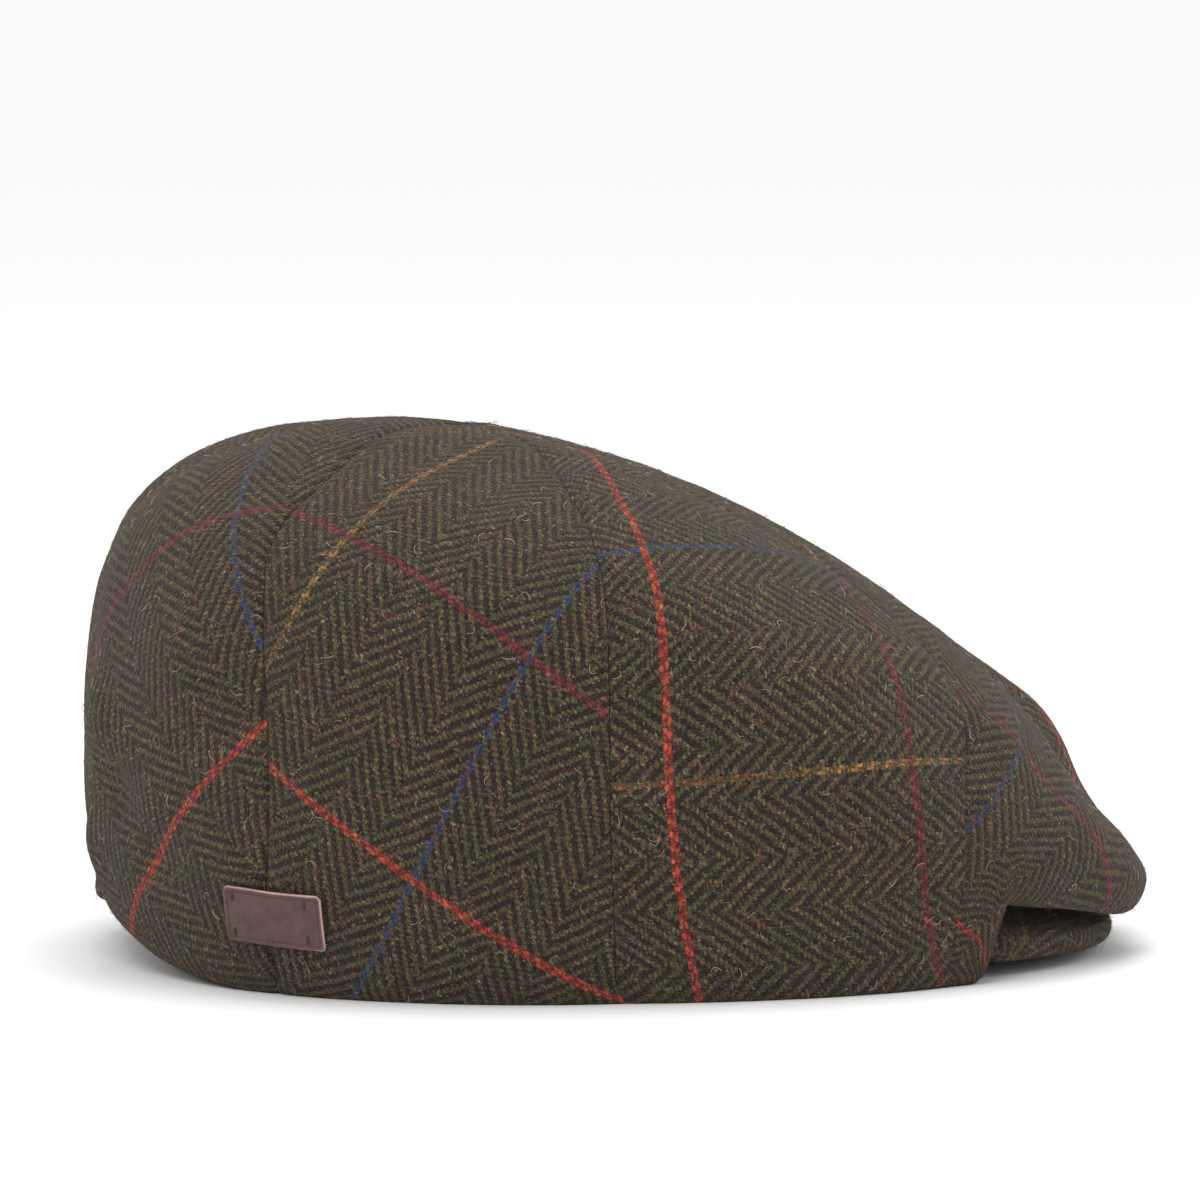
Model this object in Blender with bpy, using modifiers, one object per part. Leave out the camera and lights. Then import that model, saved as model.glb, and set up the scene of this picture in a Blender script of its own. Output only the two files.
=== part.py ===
# Flat cap: eight cloth gores that meet at the top and roll over a short arched peak at the front.
# A leather tab lies on the right side, across the seam of the two rear gores.
# Metres, +Z up, +X forward (peak), wearer's right is -Y. The origin is under the middle of the cap.

import math

import bmesh
import bpy
import numpy as np

# Driving sizes of the crown
CROWN_LENGTH = 0.2705      # back of the belly to the front of the roll
CROWN_WIDTH = 0.206        # across the belly
CROWN_HEIGHT = 0.134       # surface to the top of the puffed gores
CLOTH = 0.002              # tweed and its backing, one wall
SEAM_GAP = 0.0006          # between two gores
SIDE_SEAM_DEPTH = 0.0012   # how far a side seam is drawn in
END_SEAM_DEPTH = 0.0045    # the same at the centre front and centre back
SIDE_SEAM_SPREAD = 0.010   # from a side seam to where the gore stands full
END_SEAM_SPREAD = 0.015    # the same at the centre front and centre back
TOP_OPENING = 0.0025       # radius that the eight points leave at the top

# Driving sizes of the peak and the tab
PEAK_THICKNESS = 0.0058    # board with cloth on both sides
PEAK_EDGE_ROUND = 0.0021
PEAK_TIP_HEIGHT = 0.0085   # upper side of its outer edge above the surface, at the middle
PEAK_ARCH = 0.0022         # how much lower that edge lies at its two ends
PEAK_TUCK = 0.0055         # from its tip back to the front of the roll
PEAK_WING_TUCK = 0.0030    # more of the same at its two ends
PEAK_GAP = 0.0004          # between its root and the hem that holds it
TAB_WIDTH = 0.0265
TAB_HEIGHT = 0.0135
TAB_THICKNESS = 0.0015
TAB_GAP = 0.0003
TAB_EDGE_ROUND = 0.0004
TAB_BASE = 0.0116          # lower edge of the tab above the surface
TAB_ANGLE = 133.4          # degrees from the front round to its middle

# Loops of the crown from the hem's inner edge up to the top, one row each.
# back, front and mid are shares of the length, half of the width, and the heights of the height.
# square is the power of the loop's outline at its front and back half, 2 for an ellipse.
# fall says how late the loop leaves its side height on the way to the front or the back.
# corner is 1 where the loop jumps up at the corner of the peak, and lip is its lift beside that.
LOOP_COLUMNS = (
    "back", "front", "mid", "half", "back_height", "side_height", "front_height",
    "front_square", "back_square", "front_fall", "back_fall", "corner", "lip",
)
LOOPS = (
    (-0.414, 0.325, -0.048, 0.408, 0.097, 0.026, 0.164, 2.00, 2.00, 9.0, 12.0, 1.0, 0.000),
    (-0.451, 0.400, -0.048, 0.442, 0.075, -0.006, 0.119, 2.40, 2.10, 9.0, 14.0, 1.0, 0.022),
    (-0.481, 0.474, -0.052, 0.471, 0.112, 0.052, 0.062, 2.10, 2.10, 6.0, 6.0, 0.6, 0.062),
    (-0.495, 0.499, -0.052, 0.488, 0.224, 0.201, 0.125, 2.00, 2.20, 3.0, 4.0, 0.0, 0.030),
    (-0.497, 0.482, -0.052, 0.500, 0.403, 0.388, 0.202, 2.05, 2.25, 2.2, 3.0, 0.0, 0.000),
    (-0.490, 0.440, -0.052, 0.493, 0.627, 0.575, 0.299, 2.10, 2.25, 2.0, 3.0, 0.0, 0.000),
    (-0.476, 0.389, -0.052, 0.466, 0.742, 0.701, 0.434, 2.15, 2.20, 1.8, 3.0, 0.0, 0.000),
    (-0.447, 0.322, -0.055, 0.413, 0.850, 0.795, 0.566, 2.20, 2.20, 1.6, 3.0, 0.0, 0.000),
    (-0.392, 0.224, -0.063, 0.325, 0.937, 0.875, 0.713, 2.20, 2.15, 1.5, 3.0, 0.0, 0.000),
    (-0.312, 0.100, -0.089, 0.214, 0.993, 0.936, 0.854, 2.10, 2.10, 1.5, 3.0, 0.0, 0.000),
    (-0.224, -0.018, -0.115, 0.102, 1.008, 0.978, 0.942, 2.00, 2.00, 1.5, 3.0, 0.0, 0.000),
    (-0.133, -0.133, -0.133, 0.000, 0.990, 0.990, 0.990, 2.00, 2.00, 1.5, 3.0, 0.0, 0.000),
)
TOP_LEVEL = len(LOOPS) - 1.0

# Seams from the front round to the back, in degrees from the front, at five levels between the loops
SEAM_COLUMNS = ("level", "centre_front", "front_quarter", "side", "rear_quarter", "centre_back")
END_SEAMS = ("centre_front", "centre_back")
SEAMS = (
    (1.0, 0.0, 39.5, 85.0, 137.0, 180.0),
    (2.0, 0.0, 41.2, 86.8, 135.0, 180.0),
    (4.0, 0.0, 41.0, 88.0, 132.5, 180.0),
    (8.0, 0.0, 30.0, 88.0, 140.0, 180.0),
    (10.5, 0.0, 25.0, 74.0, 144.0, 180.0),
)
SEAM_DEPTHS = [END_SEAM_DEPTH if name in END_SEAMS else SIDE_SEAM_DEPTH for name in SEAM_COLUMNS[1:]]
SEAM_SPREADS = [END_SEAM_SPREAD if name in END_SEAMS else SIDE_SEAM_SPREAD for name in SEAM_COLUMNS[1:]]
SEAM_POWER = 1.3           # 1 for a sharp valley, 2 for a round one
SEAM_START = 0.8           # level where the seams begin to draw in
SEAM_FULL = 2.3            # level where they are drawn in fully
SEAM_FADE = 2.5            # levels below the top where they fade again

# Corner beside the peak, where the hem steps up from the surface, in degrees from the front
CORNER_INNER = 30.0
CORNER_OUTER = 34.5
PEAK_END = 29.2            # where the peak ends, just inside the corner
PEAK_ROOT_LEVEL = 0.30     # loops that carry the peak's root and hide its tip
PEAK_ROLL_LEVEL = 2.0
PEAK_HOLLOW = 1.3          # power of the peak's slope from root to tip

# Gores, named from the front to the back, each between two neighbouring seams
GORES = ("gore_front", "gore_front_side", "gore_rear_side", "gore_back")
GORE_COLUMNS = 11
FRONT_COLUMN_SHARES = (0.0, 0.14, 0.28, 0.42, 0.56, 0.66, 0.73, 0.77, 0.81, 0.85, 0.90, 1.0)
GORE_LEVELS = np.concatenate(
    (np.linspace(0.0, 2.5, 9), np.linspace(3.0, 9.0, 11), np.linspace(9.6, TOP_LEVEL, 5))
)
PEAK_COLUMNS = 22
PEAK_ROWS = 6
TAB_COLUMNS = 10
TAB_ROWS = 5
TAB_LEVELS = (1.5, 5.0)    # the tab lies between these two levels
HALVINGS = 30
SMALL_STEP = 1e-3
SMALLEST = 1e-6            # keeps the top point's radius off zero
SHARP_ANGLE = math.radians(50)
ROUNDED_ANGLE = math.radians(60)

TWEED = (0.062, 0.050, 0.040)
TWEED_ROUGHNESS = 0.9
LEATHER = (0.125, 0.072, 0.068)
LEATHER_ROUGHNESS = 0.55


def smooth(value):
    share = np.clip(value, 0.0, 1.0)
    return share * share * (3.0 - 2.0 * share)


def between_rows(rows, place):
    # A smooth curve through the rows of a table
    last = len(rows) - 1
    place = np.clip(place, 0.0, last)
    first = np.minimum(place.astype(int), last - 1)
    part = (place - first)[..., None]
    low = rows[first]
    high = rows[first + 1]
    before = np.where((first > 0)[..., None], rows[np.maximum(first - 1, 0)], 2 * low - high)
    after = np.where((first < last - 1)[..., None], rows[np.minimum(first + 2, last)], 2 * high - low)
    square = part * part
    cube = square * part
    curve = (2 * cube - 3 * square + 1) * low + (3 * square - 2 * cube) * high
    return curve + (cube - 2 * square + part) * (high - before) / 2 + (cube - square) * (after - low) / 2


def loop_values(level):
    values = np.moveaxis(between_rows(np.array(LOOPS), level), -1, 0)
    return dict(zip(LOOP_COLUMNS, values))


def seam_angles(level):
    table = np.array(SEAMS)
    angles = table[0, 1:] + 0.0 * level[..., None]
    for low, high in zip(table[:-1], table[1:]):
        share = smooth((level - low[0]) / (high[0] - low[0]))
        angles = angles + (high[1:] - low[1:]) * share[..., None]
    return angles


def loop_radius(angle, loop):
    # Distance from the middle of a loop to its outline, seen from above
    ahead = np.cos(angle)
    aside = np.sin(angle)
    front_side = ahead > 0
    reach = np.where(front_side, loop["front"] - loop["mid"], loop["mid"] - loop["back"])
    reach = np.maximum(reach * CROWN_LENGTH, SMALLEST)
    half = np.maximum(loop["half"] * CROWN_WIDTH, SMALLEST)
    power = np.where(front_side, loop["front_square"], loop["back_square"])
    return ((np.abs(ahead) / reach) ** power + (np.abs(aside) / half) ** power) ** (-1.0 / power)


def plain_crown(angle, level):
    # The crown without its seams: a point for each angle in radians and each level
    loop = loop_values(level)
    radius = loop_radius(angle, loop)
    ahead = np.cos(angle)
    aside = np.sin(angle)
    turned = np.abs(np.degrees(np.arctan2(aside, ahead)))
    corner = smooth((CORNER_OUTER - turned) / (CORNER_OUTER - CORNER_INNER))
    forward = np.maximum(ahead, 0.0) ** loop["front_fall"]
    forward = forward + (corner - forward) * loop["corner"]
    lift = loop["lip"] * corner * smooth(turned / CORNER_INNER)
    backward = np.maximum(-ahead, 0.0) ** loop["back_fall"]
    height = loop["side_height"] + (loop["front_height"] - loop["side_height"]) * forward
    height = height + (loop["back_height"] - loop["side_height"]) * backward + lift
    x = loop["mid"] * CROWN_LENGTH + radius * ahead
    return np.stack([x, radius * aside, height * CROWN_HEIGHT], -1)


def outward(angle, level):
    around = plain_crown(angle + SMALL_STEP, level) - plain_crown(angle - SMALL_STEP, level)
    above = plain_crown(angle, np.minimum(level + SMALL_STEP, TOP_LEVEL))
    up = above - plain_crown(angle, np.maximum(level - SMALL_STEP, 0.0))
    normal = np.cross(around, up)
    return normal / np.linalg.norm(normal, axis=-1, keepdims=True)


def seam_draw(angle, level):
    # How far the seams draw the cloth in, at each point
    turned = np.abs(np.degrees(np.arctan2(np.sin(angle), np.cos(angle))))
    radius = loop_radius(angle, loop_values(level))
    away = np.radians(np.abs(turned[..., None] - seam_angles(level))) * radius[..., None]
    drawn = (np.array(SEAM_DEPTHS) * np.exp(-((away / np.array(SEAM_SPREADS)) ** SEAM_POWER))).sum(-1)
    start = np.clip((level - SEAM_START) / (SEAM_FULL - SEAM_START), 0.0, 1.0)
    end = np.clip((TOP_LEVEL - level) / SEAM_FADE, 0.0, 1.0)
    return drawn * start * end


def crown(angle, level):
    # The outer side of the cloth, flat where it rests on the surface
    point = plain_crown(angle, level) - outward(angle, level) * seam_draw(angle, level)[..., None]
    point[..., 2] = np.maximum(point[..., 2], 0.0)
    return point


def mapped_grid(name, columns, rows, place):
    # A grid of faces whose points are moved to place(column, row)
    mesh = bpy.data.meshes.new(name)
    grid = bmesh.new()
    bmesh.ops.create_grid(grid, x_segments=columns, y_segments=rows, size=1.0)
    for vertex in grid.verts:
        column = round((vertex.co.x + 1.0) / 2.0 * columns)
        row = round((vertex.co.y + 1.0) / 2.0 * rows)
        vertex.co = place[row, column]
    grid.to_mesh(mesh)
    grid.free()
    return bpy.data.objects.new(name, mesh)


def finish_piece(piece, material, parts):
    piece.data.shade_smooth()
    piece.data.set_sharp_from_angle(angle=SHARP_ANGLE)
    piece.data.materials.append(material)
    parts.objects.link(piece)


def add_wall(piece, thickness, side):
    wall = piece.modifiers.new("wall", "SOLIDIFY")
    wall.thickness = thickness
    wall.offset = side


def add_round(piece, width, segments):
    edge = piece.modifiers.new("edge", "BEVEL")
    edge.width = width
    edge.segments = segments
    edge.limit_method = "ANGLE"
    edge.angle_limit = ROUNDED_ANGLE


def gore(number, side, material, parts):
    # One gore between seams number and number + 1, on side 1 (left) or -1 (right)
    if number == 0:
        shares = np.array(FRONT_COLUMN_SHARES)
    else:
        shares = np.linspace(0.0, 1.0, GORE_COLUMNS + 1)
    levels = GORE_LEVELS[:, None] + 0.0 * shares[None, :]
    levels = np.minimum(levels, top_level())
    seams = np.radians(seam_angles(levels))
    near = seams[..., number]
    far = seams[..., number + 1]
    near = near + SEAM_GAP / 2 / loop_radius(near, loop_values(levels))
    far = far - SEAM_GAP / 2 / loop_radius(far, loop_values(levels))
    points = crown(near + (far - near) * shares[None, :], levels)
    if side < 0:
        points = points[:, ::-1] * np.array([1.0, -1.0, 1.0])
    name = GORES[number] + ("_left" if side > 0 else "_right")
    piece = mapped_grid(name, GORE_COLUMNS, len(GORE_LEVELS) - 1, points)
    add_wall(piece, CLOTH, -1.0)
    finish_piece(piece, material, parts)


def top_level():
    # The level where the smallest loop has the radius TOP_OPENING
    narrow = LOOPS[-2][LOOP_COLUMNS.index("half")] * CROWN_WIDTH
    return TOP_LEVEL - TOP_OPENING / narrow


def peak(material, parts):
    # An arched visor from under the front hem to just behind the roll
    angles = np.radians(np.linspace(-PEAK_END, PEAK_END, PEAK_COLUMNS + 1))
    root = crown(angles, np.full(angles.shape, PEAK_ROOT_LEVEL))
    root[:, 2] -= PEAK_GAP
    roll = crown(angles, np.full(angles.shape, PEAK_ROLL_LEVEL))
    outer = np.stack([np.cos(angles), np.sin(angles), 0.0 * angles], -1)
    tuck = PEAK_TUCK + PEAK_WING_TUCK * (angles / angles[-1]) ** 2
    tip = roll - outer * tuck[:, None]
    tip[:, 2] = PEAK_TIP_HEIGHT - PEAK_ARCH * (angles / angles[-1]) ** 2
    place = []
    for share in np.linspace(0.0, 1.0, PEAK_ROWS + 1):
        line = tip + (root - tip) * share
        line[:, 2] = tip[:, 2] + (root[:, 2] - tip[:, 2]) * share ** PEAK_HOLLOW
        place.append(line)
    piece = mapped_grid("peak", PEAK_COLUMNS, PEAK_ROWS, np.array(place))
    add_wall(piece, PEAK_THICKNESS, -1.0)
    add_round(piece, PEAK_EDGE_ROUND, 2)
    finish_piece(piece, material, parts)


def level_at_height(angle, height):
    # The level of the tab where the crown has this height, found by halving
    low = np.full(angle.shape, TAB_LEVELS[0])
    high = np.full(angle.shape, TAB_LEVELS[1])
    for _ in range(HALVINGS):
        middle = (low + high) / 2
        below = plain_crown(angle, middle)[..., 2] < height
        low = np.where(below, middle, low)
        high = np.where(below, high, middle)
    return (low + high) / 2


def leather_tab(material, parts):
    # A plate of leather that lies on the cloth without following the seam under it
    middle_angle = np.array(math.radians(-TAB_ANGLE))
    middle_level = level_at_height(middle_angle, TAB_BASE + TAB_HEIGHT / 2)
    step = plain_crown(middle_angle + SMALL_STEP, middle_level) - plain_crown(middle_angle, middle_level)
    turn = TAB_WIDTH / np.linalg.norm(step) * SMALL_STEP
    across = np.linspace(-0.5, 0.5, TAB_COLUMNS + 1)[None, :]
    up = np.linspace(0.0, 1.0, TAB_ROWS + 1)[:, None]
    angles = middle_angle + turn * across + 0.0 * up
    levels = level_at_height(angles, TAB_BASE + TAB_HEIGHT * up + 0.0 * across)
    points = plain_crown(angles, levels) + outward(angles, levels) * TAB_GAP
    piece = mapped_grid("leather_tab", TAB_COLUMNS, TAB_ROWS, points)
    add_wall(piece, TAB_THICKNESS, 1.0)
    add_round(piece, TAB_EDGE_ROUND, 1)
    finish_piece(piece, material, parts)


def plain_material(name, color, roughness):
    material = bpy.data.materials.new(name)
    material.use_nodes = True
    shader = material.node_tree.nodes["Principled BSDF"]
    shader.inputs["Base Color"].default_value = (*color, 1.0)
    shader.inputs["Roughness"].default_value = roughness
    shader.inputs["Metallic"].default_value = 0.0
    material.diffuse_color = (*color, 1.0)
    return material


def clear_scene():
    for old in list(bpy.data.objects):
        bpy.data.objects.remove(old, do_unlink=True)


def main():
    clear_scene()
    parts = bpy.data.collections.new("flat_cap")
    bpy.context.scene.collection.children.link(parts)
    for number in range(len(GORES)):
        for side in (1, -1):
            name = GORES[number] + ("_left" if side > 0 else "_right")
            gore(number, side, plain_material("tweed_" + name, TWEED, TWEED_ROUGHNESS), parts)
    peak(plain_material("tweed_peak", TWEED, TWEED_ROUGHNESS), parts)
    leather_tab(plain_material("leather", LEATHER, LEATHER_ROUGHNESS), parts)


main()
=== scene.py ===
# Flat cap of eight herringbone gores over a short peak, with a leather tab, dressed for a studio picture.
# Metres in the frame's axes: +X forward to the peak, the wearer's right is -Y, +Z up.
import math

import bmesh
import bpy
import numpy as np
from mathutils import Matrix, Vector, noise


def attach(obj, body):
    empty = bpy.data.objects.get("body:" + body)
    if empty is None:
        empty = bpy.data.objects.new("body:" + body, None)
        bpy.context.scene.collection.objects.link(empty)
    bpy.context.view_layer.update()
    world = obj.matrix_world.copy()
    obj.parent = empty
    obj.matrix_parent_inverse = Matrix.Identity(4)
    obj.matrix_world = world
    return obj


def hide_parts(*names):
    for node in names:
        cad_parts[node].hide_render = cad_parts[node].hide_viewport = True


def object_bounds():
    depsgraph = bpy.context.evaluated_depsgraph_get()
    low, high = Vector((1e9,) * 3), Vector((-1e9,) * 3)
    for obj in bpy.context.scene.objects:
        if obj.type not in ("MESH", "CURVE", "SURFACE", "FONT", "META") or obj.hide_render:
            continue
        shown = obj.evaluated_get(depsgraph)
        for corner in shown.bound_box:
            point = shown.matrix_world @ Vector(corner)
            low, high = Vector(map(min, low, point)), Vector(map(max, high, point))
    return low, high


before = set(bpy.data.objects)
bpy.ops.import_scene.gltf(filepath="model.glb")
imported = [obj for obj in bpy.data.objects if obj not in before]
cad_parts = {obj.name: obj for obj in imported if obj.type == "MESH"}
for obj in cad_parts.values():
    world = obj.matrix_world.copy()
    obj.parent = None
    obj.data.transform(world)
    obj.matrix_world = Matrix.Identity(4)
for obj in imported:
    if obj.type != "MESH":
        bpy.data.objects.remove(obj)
cadLow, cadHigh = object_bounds()
cadSize = cadHigh - cadLow
print("frame loaded")


# Node trees

class Socket:
    # A socket that can stand in an expression; every operator adds its Math node.
    def __init__(self, maker, link):
        self.maker = maker
        self.link = link

    def math(self, operation, *others):
        values = dict(enumerate((self, *others)))
        return self.maker.node("ShaderNodeMath", {"operation": operation}, values)

    def __add__(self, other):
        return self.math("ADD", other)

    def __radd__(self, other):
        return self.math("ADD", other)

    def __sub__(self, other):
        return self.math("SUBTRACT", other)

    def __rsub__(self, other):
        return (self * -1).math("ADD", other)

    def __mul__(self, other):
        return self.math("MULTIPLY", other)

    def __rmul__(self, other):
        return self.math("MULTIPLY", other)

    def __truediv__(self, other):
        return self.math("DIVIDE", other)

    def __pow__(self, other):
        return self.math("POWER", other)

    def __mod__(self, other):
        return self.math("FLOORED_MODULO", other)

    def __lt__(self, other):
        return self.math("LESS_THAN", other)

    def __gt__(self, other):
        return self.math("GREATER_THAN", other)

    def floor(self):
        return self.math("FLOOR")

    def fract(self):
        return self.math("FRACT")

    def abs(self):
        return self.math("ABSOLUTE")

    def sine(self):
        return self.math("SINE")

    def within(self, low=0.0, high=1.0):
        return self.math("MAXIMUM", low).math("MINIMUM", high)

    def ease(self, start, end):
        # 0 at start and 1 at end, with a soft turn at both
        settings = {"interpolation_type": "SMOOTHSTEP"}
        return self.maker.node("ShaderNodeMapRange", settings, {"Value": self, "From Min": start, "From Max": end})


class Maker:
    def __init__(self, tree):
        self.tree = tree

    def node(self, kind, settings=None, sockets=None, out=0):
        made = self.tree.nodes.new(kind)
        for name, value in (settings or {}).items():
            if name == "stops":
                self.setStops(made.color_ramp, value)
            else:
                setattr(made, name, value)
        for name, value in (sockets or {}).items():
            if isinstance(value, (list, tuple)) and value and isinstance(value[0], Socket):
                for part in value:
                    self.tree.links.new(part.link, made.inputs[name])
            elif isinstance(value, Socket):
                self.tree.links.new(value.link, made.inputs[name])
            else:
                made.inputs[name].default_value = value
        return Socket(self, made.outputs[out]) if made.outputs else made

    def setStops(self, ramp, stops):
        while len(ramp.elements) < len(stops):
            ramp.elements.new(0.5)
        for element, (place, color) in zip(ramp.elements, stops):
            element.position = place
            element.color = (*color, 1.0)

    def parts(self, vector, count=2):
        split = self.node("ShaderNodeSeparateXYZ", None, {0: vector}).link.node
        return [Socket(self, split.outputs[k]) for k in range(count)]

    def both(self, x, y, z=0.0):
        return self.node("ShaderNodeCombineXYZ", None, {0: x, 1: y, 2: z})

    def mix(self, share, low, high):
        low, high = [(*c, 1.0) if isinstance(c, tuple) and len(c) == 3 else c for c in (low, high)]
        return self.node("ShaderNodeMix", {"data_type": "RGBA"}, {0: share, 6: low, 7: high}, 2)

    def tint(self, share, low, high):
        low, high = [(*c, 1.0) if isinstance(c, tuple) and len(c) == 3 else c for c in (low, high)]
        settings = {"data_type": "RGBA", "blend_type": "MULTIPLY"}
        return self.node("ShaderNodeMix", settings, {0: share, 6: low, 7: high}, 2)

    def mottle(self, place, scale, detail=2.0, roughness=0.5):
        sockets = {"Vector": place, "Scale": scale, "Detail": detail, "Roughness": roughness}
        return self.node("ShaderNodeTexNoise", None, sockets)

    def chance(self, place):
        return self.node("ShaderNodeTexWhiteNoise", {"noise_dimensions": "3D"}, {"Vector": place})


def newMaterial(name, flatColor):
    material = bpy.data.materials.new(name)
    material.use_nodes = True
    material.node_tree.nodes.clear()
    material.diffuse_color = (*flatColor, 1.0)
    return material, Maker(material.node_tree)


def closeMaterial(maker, sockets, height=None, relief=None):
    # relief is the height in metres of a full step of height
    shader = maker.tree.nodes.new("ShaderNodeBsdfPrincipled")
    if height is not None:
        sockets["Normal"] = maker.node("ShaderNodeBump", None, {"Height": height, "Distance": relief})
    for name, value in sockets.items():
        if isinstance(value, Socket):
            maker.tree.links.new(value.link, shader.inputs[name])
        else:
            shader.inputs[name].default_value = value
    output = maker.tree.nodes.new("ShaderNodeOutputMaterial")
    maker.tree.links.new(shader.outputs[0], output.inputs["Surface"])


# Tweed

tweed = {
    "end": 0.00081,           # from one warp yarn to the next
    "pick": 0.00104,          # from one weft yarn to the next
    "band": 15.0,             # warp yarns across a herringbone band
    "blueEvery": 202.0,       # warp yarns from one blue line to the next
    "yellowBefore": 70.0,     # warp yarns from a yellow line to the blue one after it
    "orangeEvery": 149.0,         # picks
    "crimsonAfter": 57.0,
    "lineYarns": 2.0,
    "wander": 0.55,           # yarns that the weave drifts
    "fray": 0.34,             # yarns that an edge strays
    "slant": 0.72,            # 0 for ribs in steps, 1 for straight ones
    "relief": 0.00040,
    "warpDark": (0.0085, 0.0052, 0.0052),
    "warpLight": (0.046, 0.029, 0.028),
    "weftDark": (0.022, 0.0165, 0.0090),
    "weftLight": (0.145, 0.118, 0.054),
    "moss": (0.036, 0.052, 0.033),
    "umber": (0.085, 0.044, 0.028),
    "straw": (0.320, 0.250, 0.110),
    "rust": (0.260, 0.085, 0.028),
    "slate": (0.036, 0.054, 0.066),
    "blueLine": (0.026, 0.066, 0.190),
    "yellowLine": (0.480, 0.210, 0.070),
    "orangeLine": (0.600, 0.084, 0.036),
    "orangeDeep": (0.430, 0.034, 0.034),
    "crimsonLine": (0.280, 0.034, 0.060),
    "crimsonDeep": (0.150, 0.014, 0.026),
    # painted shade: this tone darkens a copy of the tweed, put on the inner faces and on the peak's top under the
    # roll, for the shade in the hollow there
    "paintedShadeTone": (0.30, 0.29, 0.30),      # the inner face of the cloth is darker
}


def curls(make, cloth, scale, layer, width, spread):
    # Short curling hairs: the level lines of one noise, broken up by another
    place = make.node("ShaderNodeMapping", None, {"Vector": cloth, "Location": (0.0, 0.0, layer)})
    line = 1.0 - ((make.mottle(place, scale, 1.5) - 0.5).abs() / width).within()
    return line * make.mottle(place, scale * 0.55, 1.0).ease(spread, spread + 0.05)


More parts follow.
